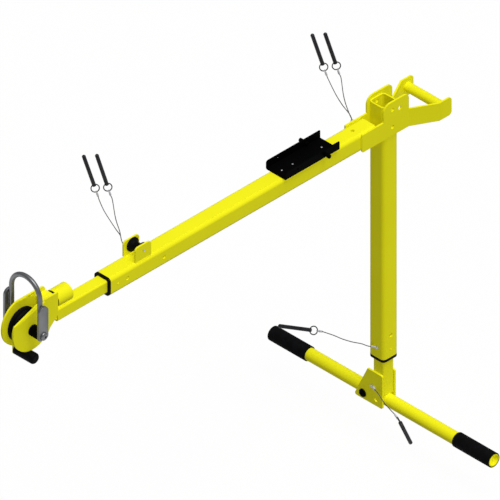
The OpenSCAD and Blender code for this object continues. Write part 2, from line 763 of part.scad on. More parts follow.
// turns its children's +Z to d and their +X to n
module pose(d, n) {
  th = acos(d[2]);
  ph = atan2(d[1], d[0]);
  rx = [cos(th) * cos(ph), cos(th) * sin(ph), -sin(th)];
  ry = [-sin(ph), cos(ph), 0];
  stand(d) rotate([0, 0, atan2(n * ry, n * rx)]) children();
}
// the crimped sleeve and loop at a strand's end
module end_piece(c, e, n) {
  translate(c) pose(e, n) {
    translate([0, 0, -eye_out - 4 - crimp]) cylinder(h = crimp + 0.6, r = 3.2);
    // the loop's hole is the hinge on which the pin swings
    difference() {
      cyl_y(-1.2, 1.2, 0, -eye_out, 4.1);
      cyl_y(-2, 2, 0, -eye_out, ring_wire / 2 + 0.75);
    }
  }
}
// the eyelets of strands under one screw, stacked along n from a face
module stud(p, n, count) {
  translate(p) stand(n) {
    cylinder(h = 3.4 * count + 0.2, r = 2.2);
    translate([0, 0, 3.4 * count + 0.2]) cylinder(h = 2.2, r = 4.2);
    for (i = [0:count - 1]) translate([0, 0, 0.1 + 3.4 * i]) difference() {
      cylinder(h = 3.3, r = 4.9);
      translate([0, 0, -1]) cylinder(h = 6, r = 2.24);
    }
  }
}
module ferrules_boom() {
  color(zinc) {
    translate(gp_shift) {
      stud(stud_boom, [0, 1, 0], 2);
      end_piece(c_a, d_a, facing(d_a));
      end_piece(c_b, d_b, facing(d_b));
    }
    stud(stud_head, [0, 1, 0], 2);
    end_piece(c_c, d_c, facing(d_c));
    end_piece(c_d, d_d, facing(d_d));
  }
}
module ferrules_mast() {
  color(zinc) translate(mast_shift) {
    stud(stud_mast, [-1, 0, 0], 1);
    end_piece(c_m, d_m, facing(d_m));
  }
}
module ferrules_leg() {
  color(zinc) translate(foot_shift) {
    stud(stud_foot, [-1, 0, 0], 1);
    end_piece(c_f, e_f, unit(cross(e_f, d_f)));
  }
}
// a lock pin with its ring through the cross hole at its end
module lock_pin(c, d, n) {
  color([0.25, 0.25, 0.27]) translate(c) pose(d, n) {
    difference() {
      union() {
        translate([0, 0, 7.5]) cylinder(h = pin_len - 3, r = pin_d / 2);
        translate([0, 0, 4.5 + pin_len]) cylinder(h = 3, r1 = pin_d / 2, r2 = pin_d / 2 - 2.5);
      }
      translate([0, 20, ring_r - 0.6]) rotate([90, 0, 0]) cylinder(h = 40, r = ring_wire / 2 + 1.2);
    }
    rotate([0, 90, 0]) rotate_extrude() translate([ring_r, 0]) circle(ring_wire / 2);
  }
}
module pin_a() { translate(gp_shift) lock_pin(c_a, d_a, facing(d_a)); }
module pin_b() { translate(gp_shift) lock_pin(c_b, d_b, facing(d_b)); }
module pin_c() { lock_pin(c_c, d_c, facing(d_c)); }
module pin_d1() { lock_pin(c_d, d_d, facing(d_d)); }
module pin_mast() { translate(mast_shift) lock_pin(c_m, d_m, facing(d_m)); }
module pin_foot() { translate(foot_shift) lock_pin(c_f, d_f, unit(cross(e_f, d_f))); }

mast_tube();
mast_collar();
mast_collar_screws();
leg_tube();
leg_guide();
gusset_front();
gusset_rear();
fold_bolt();
fold_nut();
crossbar_tube();
grips();
fold_bush();
boom_outer();
boom_collar();
boom_collar_screws();
plate_near();
plate_far();
carry_bar();
winch_bracket();
bracket_screws();
bracket_bolts();
cheek_near();
cheek_far();
pulley_axle();
guide_pulley();
pulley_bush();
boom_inner();
boom_guide();
swivel_housing();
swivel_bushes();
swivel_block();
swivel_spindle();
swivel_washer();
side_plate_near();
side_plate_far();
sheave_bolt();
sheave_nut();
sheave_spacers();
peg_tab();
rope_peg();
end_sheave();
sheave_bush();
bail();
strand_a();
strand_b();
strand_c();
strand_d1();
strand_mast();
strand_foot();
ferrules_boom();
ferrules_mast();
ferrules_leg();
pin_a();
pin_b();
pin_c();
pin_d1();
pin_mast();
pin_foot();
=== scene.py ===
# %% [markdown]
# # A pole hoist, dressed in Blender
# The machine is a portable davit: a square mast with a leg that slides out of it, a crossbar
# that folds on the leg's foot, and a boom that tilts on the mast and carries a swivelling
# sheave head. Its hard parts come ready from CAD as a frame. This script gives every part its
# paint, rubber or metal, and models again the pieces whose looks depend on soft edges, turned
# shapes or wound wire.

# %% Load the CAD frame
import json
import math
import bpy
import bmesh
from mathutils import Matrix, Vector


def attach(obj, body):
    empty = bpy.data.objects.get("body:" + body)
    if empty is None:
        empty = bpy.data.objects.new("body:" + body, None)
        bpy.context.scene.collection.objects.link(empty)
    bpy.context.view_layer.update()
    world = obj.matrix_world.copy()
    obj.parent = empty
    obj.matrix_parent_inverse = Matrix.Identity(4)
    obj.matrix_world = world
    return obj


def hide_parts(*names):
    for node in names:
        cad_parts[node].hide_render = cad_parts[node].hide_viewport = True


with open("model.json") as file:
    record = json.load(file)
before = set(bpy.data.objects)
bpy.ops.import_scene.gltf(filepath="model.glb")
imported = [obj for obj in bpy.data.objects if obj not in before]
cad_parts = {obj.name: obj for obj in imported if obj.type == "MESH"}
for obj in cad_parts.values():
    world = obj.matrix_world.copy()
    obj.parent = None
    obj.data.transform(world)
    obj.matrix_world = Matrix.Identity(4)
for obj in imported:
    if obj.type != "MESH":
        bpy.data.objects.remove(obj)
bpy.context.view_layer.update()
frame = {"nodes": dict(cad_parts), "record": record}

# %% [markdown]
# ## Camera
# The photograph is a catalogue view with no perspective: lines that are parallel on the hoist
# stay parallel in the picture. So the camera is orthographic. It looks down one corner of a
# cube, which makes all three directions equally short, and its scale is the width of the view
# in metres.

# %% Camera
sight = Vector((1, 1, -1)).normalized()
middle = Vector((-0.5605, 0.0, -0.1864))
lens = bpy.data.cameras.new("camera")
lens.type = "ORTHO"
lens.ortho_scale = 1.4845
lens.clip_end = 30
camera = bpy.data.objects.new("camera", lens)
bpy.context.scene.collection.objects.link(camera)
camera.location = middle - sight * 5
camera.rotation_euler = sight.to_track_quat("-Z", "Y").to_euler()
bpy.context.scene.camera = camera
print("camera at", [round(v, 3) for v in camera.location])

# %% [markdown]
# ## Working with nothing selected
# An operator acts on all that is selected, and the imported frame arrives selected. A small
# helper drops every choice and makes one piece active, so that the next operator touches only
# that piece.

# %% Selecting one piece
MM = 0.001


def choose(piece):
    bpy.ops.object.select_all(action="DESELECT")
    piece.select_set(True)
    bpy.context.view_layer.objects.active = piece


bpy.ops.object.select_all(action="DESELECT")
print("nothing selected:", len(bpy.context.selected_objects) == 0)

# %% [markdown]
# Five helpers do what nearly every piece needs. The first makes an object from points and
# faces. The second turns all its faces outward. The third shades it smooth, apart from edges
# that bend by more than an angle. The fourth rounds sharp edges with a narrow Bevel modifier
# and applies it. The last gives a piece its finish, ties it to the body that it moves with,
# and hides the CAD nodes that it stands for.

# %% Helpers for every piece
def add_mesh(name, points, edges=(), faces=()):
    mesh = bpy.data.meshes.new(name)
    mesh.from_pydata([tuple(p) for p in points], list(edges), list(faces))
    piece = bpy.data.objects.new(name, mesh)
    bpy.context.scene.collection.objects.link(piece)
    return piece


def face_outward(piece):
    choose(piece)
    bpy.ops.object.mode_set(mode="EDIT")
    bpy.ops.mesh.select_all(action="SELECT")
    bpy.ops.mesh.normals_make_consistent(inside=False)
    bpy.ops.object.mode_set(mode="OBJECT")


def smooth_below(angle):
    bpy.ops.object.shade_smooth_by_angle(angle=math.radians(angle))


def round_edges(piece, width, segments=2, sharper_than=40):
    edge = piece.modifiers.new("edge", "BEVEL")
    edge.width = width * MM
    edge.segments = segments
    edge.limit_method = "ANGLE"
    edge.angle_limit = math.radians(sharper_than)
    bpy.ops.object.modifier_apply(modifier=edge.name)
    smooth_below(32)


def settle(piece, body, paint, *nodes):
    piece.data.materials.clear()
    piece.data.materials.append(paint)
    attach(piece, body)
    if nodes:
        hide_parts(*nodes)
    return piece


print("helpers ready")

# %% [markdown]
# ## Finishes
# Each finish is a small node tree on a Principled shader. A noise over Object coordinates
# shifts the colour and the roughness a little from place to place, as real paint and metal
# do, and a finer noise drives a Bump node for the grain that one feels with a fingernail.
# Values that are the same all over are typed on the shader itself.

# %% Finish helper
GRAIN_HEIGHT = 0.0004


def make_finish(name, tone, second, rough, metal=0.0, shine=0.5, cloud=6.0, grain=900.0,
                depth=0.05, stretch=(1, 1, 1), rough_span=0.08):
    paint = bpy.data.materials.new(name)
    paint.use_nodes = True
    tree = paint.node_tree
    shader = tree.nodes["Principled BSDF"]
    shader.inputs["Metallic"].default_value = metal
    shader.inputs["Specular IOR Level"].default_value = shine
    place = tree.nodes.new("ShaderNodeTexCoord")
    turn = tree.nodes.new("ShaderNodeMapping")
    turn.inputs["Scale"].default_value = stretch
    tree.links.new(place.outputs["Object"], turn.inputs["Vector"])
    clouds = tree.nodes.new("ShaderNodeTexNoise")
    clouds.inputs["Scale"].default_value = cloud
    clouds.inputs["Detail"].default_value = 4.0
    tree.links.new(turn.outputs["Vector"], clouds.inputs["Vector"])
    tones = tree.nodes.new("ShaderNodeValToRGB")
    tones.color_ramp.elements[0].position = 0.35
    tones.color_ramp.elements[1].position = 0.65
    tones.color_ramp.elements[0].color = (*tone, 1)
    tones.color_ramp.elements[1].color = (*second, 1)
    tree.links.new(clouds.outputs["Fac"], tones.inputs["Fac"])
    tree.links.new(tones.outputs["Color"], shader.inputs["Base Color"])
    spread = tree.nodes.new("ShaderNodeMapRange")
    spread.inputs["To Min"].default_value = rough - rough_span / 2
    spread.inputs["To Max"].default_value = rough + rough_span / 2
    tree.links.new(clouds.outputs["Fac"], spread.inputs["Value"])
    tree.links.new(spread.outputs["Result"], shader.inputs["Roughness"])
    grains = tree.nodes.new("ShaderNodeTexNoise")
    grains.inputs["Scale"].default_value = grain
    grains.inputs["Detail"].default_value = 2.0
    tree.links.new(turn.outputs["Vector"], grains.inputs["Vector"])
    bump = tree.nodes.new("ShaderNodeBump")
    bump.inputs["Strength"].default_value = depth
    bump.inputs["Distance"].default_value = GRAIN_HEIGHT
    tree.links.new(grains.outputs["Fac"], bump.inputs["Height"])
    tree.links.new(bump.outputs["Normal"], shader.inputs["Normal"])
    return paint


print("grain height", GRAIN_HEIGHT, "m")

# %% [markdown]
# The yellow is a powder coat. It is nearly flat in colour, with a faint orange peel, and it
# has almost no blue in it, which is what keeps it lemon and not cream. The black parts are a
# satin coat and a moulded plastic. The photograph shows them nearly pure black, so both are
# very dark and their shine is kept low.

# %% Paint, plastic and rubber
yellow_coat = make_finish("yellow powder coat", (0.93, 0.89, 0.012), (0.905, 0.865, 0.011),
                          0.5, shine=0.045, cloud=5, grain=160, depth=0.01)
black_coat = make_finish("black satin coat", (0.0008, 0.0008, 0.001), (0.0012, 0.0012, 0.0015),
                         0.65, shine=0.02, cloud=20, grain=1100, depth=0.1)
black_moulding = make_finish("black moulding", (0.002, 0.002, 0.0026), (0.0035, 0.0035, 0.004),
                             0.6, shine=0.05, cloud=30, grain=1600, depth=0.15)
grip_rubber = make_finish("grip rubber", (0.003, 0.003, 0.0035), (0.005, 0.005, 0.006),
                          0.75, shine=0.04, cloud=40, grain=1300, depth=0.35)
print("coats made")

# %% [markdown]
# Bare metal is drawn or rolled, so its grain runs one way. The Mapping node stretches the
# noise along one direction to get those long streaks. The bail is hot rolled bar, duller and
# darker than the plated screws.

# %% Metals
bail_steel = make_finish("rolled bar steel", (0.235, 0.24, 0.248), (0.165, 0.17, 0.178), 0.44,
                         metal=0.85, cloud=25, grain=500, depth=0.12, stretch=(1, 1, 0.35))
zinc_plate = make_finish("zinc plate", (0.56, 0.57, 0.58), (0.45, 0.46, 0.47), 0.38,
                         metal=0.8, cloud=90, grain=1500, depth=0.05)
sleeve_metal = make_finish("bright sleeve", (0.62, 0.62, 0.64), (0.46, 0.46, 0.48), 0.5,
                           metal=0.1, cloud=90, grain=1500, depth=0.05)
pin_steel = make_finish("blackened pin steel", (0.03, 0.03, 0.034), (0.016, 0.016, 0.019), 0.4,
                        metal=0.35, shine=0.2, cloud=60, grain=900, depth=0.08)
wire_steel = make_finish("stainless wire", (0.22, 0.225, 0.235), (0.12, 0.125, 0.13), 0.4,
                         metal=0.8, cloud=200, grain=2500, depth=0.06)
turned_steel = make_finish("turned steel", (0.45, 0.46, 0.48), (0.36, 0.37, 0.39), 0.33,
                           metal=0.9, cloud=60, grain=1200, depth=0.08, stretch=(0.3, 1, 1))
bush_bronze = make_finish("bush bronze", (0.5, 0.33, 0.13), (0.4, 0.25, 0.09), 0.4,
                          metal=0.9, cloud=80, grain=1200, depth=0.06)
print("metals made")

# %% [markdown]
# The CAD model's record says what each node is made of. One table turns those words into
# finishes, so that no node is left bare, whether or not a piece below stands for it.

# %% Finishes of the CAD nodes
finishes = {
    "yellow_paint": yellow_coat,
    "black_steel": black_coat,
    "black_plastic": black_moulding,
    "grip_rubber": grip_rubber,
    "zinc": zinc_plate,
    "bronze": bush_bronze,
    "plain_steel": turned_steel,
    "strand_steel": wire_steel,
    "pin_steel": pin_steel,
}
for part in frame["record"]["subparts"]:
    node = frame["nodes"][part["node"]]
    coat = finishes[part["material_slot"]]
    if not node.material_slots:
        node.data.materials.append(coat)
    for place in node.material_slots:
        place.material = coat
print("finishes given to", len(frame["nodes"]), "nodes")

# %% [markdown]
# ## Lanyards
# Each lock pin hangs on a short stainless wire rope, three millimetres thick and stiff enough
# to stand by itself. Its route is a smooth curve through a few points, the same ones that the
# CAD solid follows. Working the curve out in code gives its length as well, which a curve
# object wouldn't.

# %% A smooth route through points
def smooth_route(points, steps):
    pts = [Vector(p) * MM for p in points]
    pts = [2 * pts[0] - pts[1]] + pts + [2 * pts[-1] - pts[-2]]
    route = []
    for a, b, c, d in zip(pts, pts[1:], pts[2:], pts[3:]):
        for k in range(steps):
            t = k / steps
            route.append(0.5 * (2 * b + (c - a) * t + (2 * a - 5 * b + 4 * c - d) * t * t
                                + (3 * b - a - 3 * c + d) * t * t * t))
    return route + [pts[-2]]


def route_length(route):
    return sum((b - a).length for a, b in zip(route, route[1:]))


print("route helpers ready")

# %% [markdown]
# The rope is a twist of thin wires, so it isn't a plain tube. Its section is a ring of six
# bumps that turns as it goes along, once in sixteen millimetres. One helper makes the mesh,
# row by row, and another joins the rows with faces and closes both ends.

# %% A twisted rope along a route
def sweep_faces(rows, n):
    faces = [(i * n + k, i * n + (k + 1) % n, (i + 1) * n + (k + 1) % n, (i + 1) * n + k)
             for i in range(rows - 1) for k in range(n)]
    last = (rows - 1) * n
    return faces + [tuple(range(n - 1, -1, -1)), tuple(range(last, last + n))]


def wire_rope(name, route, ref, radius, bumps=6, lay=0.016, valley=0.78):
    n = bumps * 3
    rings = []
    along = 0.0
    for i, spot in enumerate(route):
        ahead = (route[min(i + 1, len(route) - 1)] - route[max(i - 1, 0)]).normalized()
        side = ahead.cross(ref).normalized()
        up = ahead.cross(side)
        if i:
            along += (spot - route[i - 1]).length
        turn = 2 * math.pi * along / lay
        for k in range(n):
            angle = 2 * math.pi * k / n
            reach = radius * (1.0 if k % 3 else valley)
            rings.append(spot + reach * (math.cos(angle + turn) * side
                                         + math.sin(angle + turn) * up))
    rope = add_mesh(name, rings, faces=sweep_faces(len(route), n))
    face_outward(rope)
    smooth_below(70)
    return rope


print("rope helpers ready")

# %% [markdown]
# The six pins stand where the photograph shows them. For each, the centre of its ring and the
# direction of its pin settle everything else: the wire ends in a crimped sleeve and a loop
# that holds the ring from below.

# %% Where the pins stand
def unit(x, y, z):
    return Vector((x, y, z)).normalized()


def facing(way):
    return (sight - sight.dot(way) * way).normalized()


stud_boom = Vector((-1052, 28, 40))
stud_head = Vector((-95, 38.1, 12))
stud_mast = Vector((-31.5, -7, -802))
stud_foot = Vector((-28.575, 19, -955))
ring_at = {
    "a": (-1106.7, 103.9, 259.5), "b": (-1078, 79.6, 260.9),
    "c": (-132.4, 118.7, 205.3), "d": (-103.1, 94.7, 207.4),
    "mast": (-97.6, 195.9, -808.2), "foot": (-79, -145.8, -975.8),
}
pin_way = {
    "a": unit(-11.5, 33.4, 97.3), "b": unit(-11.6, 31.6, 98.4),
    "c": unit(-10.9, 34.1, 97.9), "d": unit(-11.7, 33.2, 99.4),
    "mast": unit(-37.7, 94.1, -13.3), "foot": unit(42.4, -1.6, -94.4),
}
wire_way = dict(pin_way)
wire_way["foot"] = unit(-8, -27.8, -6.2)
ring_face = {k: facing(v) for k, v in pin_way.items()}
ring_face["foot"] = wire_way["foot"].cross(pin_way["foot"]).normalized()
carrier = {"a": "boom", "b": "boom", "c": "boom", "d": "boom", "mast": "mast", "foot": "leg"}
pin_body = {k: "lock_" + k for k in ring_at}
pin_node = {"a": "pin_a", "b": "pin_b", "c": "pin_c", "d": "pin_d1",
            "mast": "pin_mast", "foot": "pin_foot"}
strand_node = {"a": "strand_a", "b": "strand_b", "c": "strand_c", "d": "strand_d1",
               "mast": "strand_mast", "foot": "strand_foot"}
crimp_node = {"boom": "ferrules_boom", "mast": "ferrules_mast", "leg": "ferrules_leg"}
print("pins stand at", len(ring_at), "places")

# %% [markdown]
# A route starts beside its stud, passes through four or five points, and ends in the crimp
# below its ring. The points were chosen so that each wire, seen from the camera, bends as it
# does in the photograph.

# %% The six routes
RING_TO_WIRE = 28.7
wire_radius = 0.0015


def wire_end(k):
    return tuple(Vector(ring_at[k]) - RING_TO_WIRE * wire_way[k])


def from_stud(stud, x, y, z):
    return tuple(stud + Vector((x, y, z)))


wire_points = {
    "a": [from_stud(stud_boom, -1.9, 1.7, 5.5), (-1067.7, 32, 85.7), (-1068.6, 37, 102.9),
          (-1077.1, 48.7, 125.7), (-1094.8, 75.1, 180.6), (-1102.1, 89.9, 217.6)],
    "b": [from_stud(stud_boom, 0.9, 5.1, 5.7), (-1064.5, 35.2, 82.5), (-1066.4, 41.3, 113.9),
          (-1071.6, 48.3, 144.3), (-1072.8, 55, 169.5), (-1072.5, 65.8, 218.5)],
    "c": [from_stud(stud_head, 0.7, 1.7, 5.8), (-90.3, 42, 29.5), (-93.4, 49.7, 49.7),
          (-106.1, 66.5, 80.4), (-117, 83.7, 116.2), (-127.4, 104.4, 165.6)],
    "d": [from_stud(stud_head, 2.1, 5.1, 5.5), (-87.1, 45.2, 26.3), (-90.4, 52.7, 46.7),
          (-97.2, 62.8, 85.1), (-98.7, 70.9, 118.1), (-97.6, 80.4, 165.6)],
    "mast": [from_stud(stud_mast, -1.7, 5.8, -0.7), (-43.9, 21.2, -804.4),
             (-49.5, 41.7, -803.9), (-60.6, 72.6, -806.5), (-69.4, 101.9, -806.9),
             (-76.8, 133.1, -805)],
    "foot": [from_stud(stud_foot, -1.7, -5.7, -1), (-36, 0.5, -956.5), (-44, -23.4, -957.3),
             (-54, -56.1, -966.5), (-64, -91.7, -968.8)],
}
for k, points in wire_points.items():
    ref = Vector((0, 0, 1)) if k in ("mast", "foot") else Vector((1, 0, 0))
    fine = smooth_route(points + [wire_end(k)], 16)
    rope = wire_rope("wire_rope_" + k, fine, ref, wire_radius)
    settle(rope, carrier[k], wire_steel, strand_node[k])
    print("rope", k, round(route_length(fine), 4), "m")

# %% [markdown]
# ## Turned shapes
# Pins, sleeves, pulleys, washers and bolt heads all come off a lathe, and Blender's Spin
# operator is that lathe: it sweeps a flat outline round an axis. The outline is given as
# radius and distance along the axis. Doubles are merged where the sweep meets itself, and
# only then are the normals turned outward.

# %% A lathe
MERGE = 0.00001


def across(way):
    return Vector((0, 0, 1)) if abs(way.z) < 0.9 else Vector((1, 0, 0))


def frame_to(spot, way, side=None):
    z = Vector(way).normalized()
    x = across(z) if side is None else side
    x = (x - x.dot(z) * z).normalized()
    y = z.cross(x)
    turn = Matrix((x, y, z)).transposed().to_4x4()
    return Matrix.Translation(Vector(spot) * MM) @ turn


def turned(name, outline, spot, way, steps=64, side=None, angle=35):
    points = [(r * MM, 0, z * MM) for r, z in outline]
    loop = [(i, (i + 1) % len(points)) for i in range(len(points))]
    piece = add_mesh(name, points, edges=loop)
    choose(piece)
    bpy.ops.object.mode_set(mode="EDIT")
    bpy.ops.mesh.select_all(action="SELECT")
    bpy.ops.mesh.spin(steps=steps, angle=2 * math.pi, center=(0, 0, 0), axis=(0, 0, 1))
    bpy.ops.mesh.select_all(action="SELECT")
    bpy.ops.mesh.remove_doubles(threshold=MERGE)
    bpy.ops.mesh.delete_loose()
    bpy.ops.mesh.select_all(action="SELECT")
    bpy.ops.mesh.normals_make_consistent(inside=False)
    bpy.ops.object.mode_set(mode="OBJECT")
    smooth_below(angle)
    piece.data.transform(frame_to(spot, way, side))
    return piece


print("points merged below", MERGE, "m")

# %% [markdown]
# A hole or a socket is cut with a Boolean modifier and a cutter that is thrown away
# afterwards. The modifier is applied at once, so the piece ends as plain mesh.

# %% Cutting
def cut(piece, cutter):
    choose(piece)
    change = piece.modifiers.new("cut", "BOOLEAN")
    change.operation = "DIFFERENCE"
    change.object = cutter
    change.solver = "EXACT"
    bpy.ops.object.modifier_apply(modifier=change.name)
    bpy.data.objects.remove(cutter)
    smooth_below(35)
    return piece


def cutter_round(spot, way, radius, depth, sides=32, side=None):
    bpy.ops.object.select_all(action="DESELECT")
    bpy.ops.mesh.primitive_cylinder_add(vertices=sides, radius=radius * MM, depth=depth * MM)
    tool = bpy.context.object
    tool.data.transform(frame_to(spot, way, side))
    return tool


print("cutters ready")

# %% [markdown]
# ## Lock pins, rings and crimps
# A lock pin is a steel rod with a chamfered tip, a groove near it and a cross hole at its
# head. The rod is turned, and the hole is cut afterwards, because a lathe can't make it.

# %% Lock pins
pin_outline = [(0, 7.5), (4.9, 7.5), (5.6, 7.8), (6, 8.6), (6, 103), (5.55, 103.5),
               (5.55, 105), (6, 105.5), (6, 111.2), (5.4, 112.4), (3.5, 114.4), (0, 114.5)]
pin_hole_at = 11.9
pin_hole_radius = 2.6
for k in ring_at:
    face = ring_face[k]
    way = pin_way[k]
    pin = turned("lock_pin_" + k, pin_outline, ring_at[k], way, 48, side=face)
    hole_at = Vector(ring_at[k]) + pin_hole_at * way
    pin = cut(pin, cutter_round(hole_at, face.cross(way), pin_hole_radius, 20))
    settle(pin, pin_body[k], pin_steel, pin_node[k])
print("lock pins", len(ring_at))

# %% [markdown]
# The ring through a pin's hole is bent from wire, 3.4 mm thick. A torus has just that shape,
# so it is added at its size and set in its place, with its axis square to the pin.

# %% Rings
RING_RADIUS = 12.5


def torus(radius, wire, steps):
    bpy.ops.object.select_all(action="DESELECT")
    bpy.ops.mesh.primitive_torus_add(major_segments=steps, minor_segments=12,
                                     major_radius=radius * MM, minor_radius=wire * MM)
    return bpy.context.object


for k in ring_at:
    ring = torus(RING_RADIUS, 1.7, 72)
    ring.name = "pin_ring_" + k
    ring.data.transform(frame_to(ring_at[k], ring_face[k], side=pin_way[k]))
    bpy.ops.object.shade_smooth()
    settle(ring, pin_body[k], pin_steel, pin_node[k])
print("rings", len(ring_at))

# %% [markdown]
# The upper end of a wire goes round the ring in a small loop and back into a metal sleeve,
# which a tool has squeezed three times. The sleeve is turned, with a groove for each squeeze.
# The loop is a small torus round the ring's wire, joined to the sleeve.

# %% Crimped ends and their loops
RING_TO_CRIMP = 28.5
sleeve_outline = [(0, 0), (2.7, 0), (3.1, 0.5), (3.2, 1.6), (2.8, 2.4), (3.2, 3.2), (3.2, 5),
                  (2.8, 5.9), (3.2, 6.8), (3.2, 8.6), (2.8, 9.5), (3.2, 10.3), (3.1, 11.5),
                  (2.7, 12), (0, 12)]
for k in ring_at:
    way = wire_way[k]
    centre = Vector(ring_at[k])
    sleeve = turned("crimp_" + k, sleeve_outline, centre - RING_TO_CRIMP * way, way, 24,
                    side=ring_face[k])
    loop = torus(2.95, 1.2, 32)
    loop.data.transform(frame_to(centre - RING_RADIUS * way, ring_face[k].cross(way)))
    sleeve.select_set(True)
    bpy.context.view_layer.objects.active = sleeve
    bpy.ops.object.join()
    smooth_below(50)
    settle(sleeve, carrier[k], sleeve_metal, crimp_node[carrier[k]])

# %% [markdown]
# Where a wire leaves its stud, a thicker sleeve holds it. It is turned with an open bore for
# the wire and with two grooves, and it lies along the first stretch of the route.

# %% Short sleeves where the wires leave their studs
short_outline = [(1.55, 0), (3.2, 0), (3.8, 0.6), (3.8, 4), (3, 4.7), (3.8, 5.4), (3.8, 8.6),
                 (3, 9.3), (3.8, 10), (3.8, 13.4), (3.2, 14), (1.55, 14)]
for k, points in wire_points.items():
    start = Vector(points[0])
    short = turned("short_sleeve_" + k, short_outline, start, Vector(points[1]) - start, 24)
    settle(short, carrier[k], sleeve_metal, crimp_node[carrier[k]])
print("short sleeves", len(wire_points))

# %% [markdown]
# Four studs hold the wires' lower ends. Each is a small socket screw with a collar under its
# head for every wire that it holds. Screw and collars are turned one by one, with a hair's
# breadth between them, so that they read as separate parts.

# %% Studs that hold the wires' lower ends
eyelet = [(2.25, 0.1), (4.5, 0.1), (4.9, 0.6), (4.9, 2.9), (4.5, 3.4), (2.25, 3.4)]
eyelet_pitch = 3.4
sideways = Vector((0, 1, 0))
forward = Vector((-1, 0, 0))
stud_spots = {
    "boom_stud": (stud_boom, sideways, 2, "boom"),
    "head_stud": (stud_head, sideways, 2, "boom"),
    "mast_stud": (stud_mast, forward, 1, "mast"),
    "foot_stud": (stud_foot, forward, 1, "leg"),
}
for name, (spot, way, count, body) in stud_spots.items():
    top = eyelet_pitch * count + 0.2
    screw = turned(name, [(0, 0), (2.2, 0), (2.2, top), (4.0, top), (4.2, top + 0.4),
                          (4.0, top + 1.4), (3.0, top + 2.1), (0, top + 2.2)], spot, way, 32)
    screw = cut(screw, cutter_round(spot + way * (top + 2.2), way, 1.6, 2.4, sides=6))
    settle(screw, body, zinc_plate, crimp_node[body])
    for i in range(count):
        collar = turned(name + "_eyelet" + str(i), eyelet, spot + way * eyelet_pitch * i,
                        way, 32)
        settle(collar, body, zinc_plate, crimp_node[body])
print("studs", len(stud_spots))

# %% [markdown]
# The ropes, their sleeves and their studs now ride on the bodies that carry them.

print("ropes, sleeves and studs made")

# %% [markdown]
# ## Soft edges on plate and tube
# No real plate has a perfectly sharp edge: the saw leaves a burr, it is ground off, and the
# powder coat rounds what remains. That thin round catches light and tells the eye how thick
# the steel is. The CAD mesh itself is left alone. A copy is merged, its flat triangles are
# dissolved into whole faces, and a narrow Bevel modifier rounds the edges. A Weighted Normal
# modifier then lets the big flat faces set the shading, so that they stay flat to the eye.

# %% Rounding the edges of a copy
CAD_MERGE = 0.000002


def soft_edges(node, body, paint, width):
    source = frame["nodes"][node]
    piece = bpy.data.objects.new(node + "_soft", source.data.copy())
    bpy.context.scene.collection.objects.link(piece)
    choose(piece)
    bpy.ops.object.mode_set(mode="EDIT")
    bpy.ops.mesh.select_all(action="SELECT")
    bpy.ops.mesh.remove_doubles(threshold=CAD_MERGE)
    bpy.ops.mesh.dissolve_limited(angle_limit=math.radians(0.5))
    bpy.ops.object.mode_set(mode="OBJECT")
    round_edges(piece, width)
    even = piece.modifiers.new("even", "WEIGHTED_NORMAL")
    even.keep_sharp = True
    bpy.ops.object.modifier_apply(modifier=even.name)
    return settle(piece, body, paint, node)


soft_list = [
    ("mast_tube", "mast", yellow_coat, 0.6), ("mast_collar", "mast", black_moulding, 0.9),
    ("leg_tube", "leg", yellow_coat, 0.6), ("gusset_front", "leg", yellow_coat, 0.8),
    ("gusset_rear", "leg", yellow_coat, 0.8), ("boom_outer", "boom", yellow_coat, 0.6),
    ("boom_collar", "boom", black_moulding, 0.9), ("plate_near", "boom", yellow_coat, 0.8),
    ("plate_far", "boom", yellow_coat, 0.8), ("winch_bracket", "boom", black_coat, 0.7),
    ("cheek_near", "boom", yellow_coat, 0.8), ("cheek_far", "boom", yellow_coat, 0.8),
    ("boom_inner", "inner_boom", yellow_coat, 0.6),
    ("side_plate_near", "head", yellow_coat, 0.8),
    ("side_plate_far", "head", yellow_coat, 0.8), ("peg_tab", "head", yellow_coat, 0.8),
    ("swivel_block", "head", yellow_coat, 0.8),
]
for node, body, paint, width in soft_list:
    piece = soft_edges(node, body, paint, width)
    print("soft", node, len(piece.data.polygons))

# %% [markdown]
# In the photo the band under the mast is half as deep again as the one on the boom, and it
# laps over the tube's end. It is a square ring with round corners, a quarter of a millimetre
# proud of the tube, over the thinner band of the CAD collar.

# %% Band under the mast
def square_loop(half, corner, z, steps=8):
    loop = []
    reach = (half - corner) * math.sqrt(2)
    for quarter in (0, 90, 180, 270):
        turn = math.radians(quarter + 45)
        for i in range(steps + 1):
            a = math.radians(quarter + 90 * i / steps)
            loop.append(((reach * math.cos(turn) + corner * math.cos(a)) * MM,
                         (reach * math.sin(turn) + corner * math.sin(a)) * MM, z * MM))
    return loop


band_low = -849.6
band_high = -839.2
outside = (31.75, 12.95)
inside = (27, 9)
loops = [square_loop(*outside, band_low), square_loop(*outside, band_high),
         square_loop(*inside, band_high), square_loop(*inside, band_low)]
count = len(loops[0])
band_faces = []
for k in range(len(loops)):
    near = k * count
    far = (k + 1) % len(loops) * count
    for i in range(count):
        step = (i + 1) % count
        band_faces.append((near + i, near + step, far + step, far + i))
band = add_mesh("mast_band", sum(loops, []), faces=band_faces)
choose(band)
round_edges(band, 0.9)
settle(band, "mast", black_moulding)
print("mast band", len(band.data.polygons))

# %% [markdown]
# ## Grips and crossbar
# The crossbar's grips are rubber sleeves pushed over a round tube. Their ends are rolled, and
# a few shallow grooves round each end give the hand a stop. They are turned on the lathe
# helper, bore and all. BAR_LOW is the height of the crossbar's axis, and BAR_HALF is how far
# the bar reaches to each side.

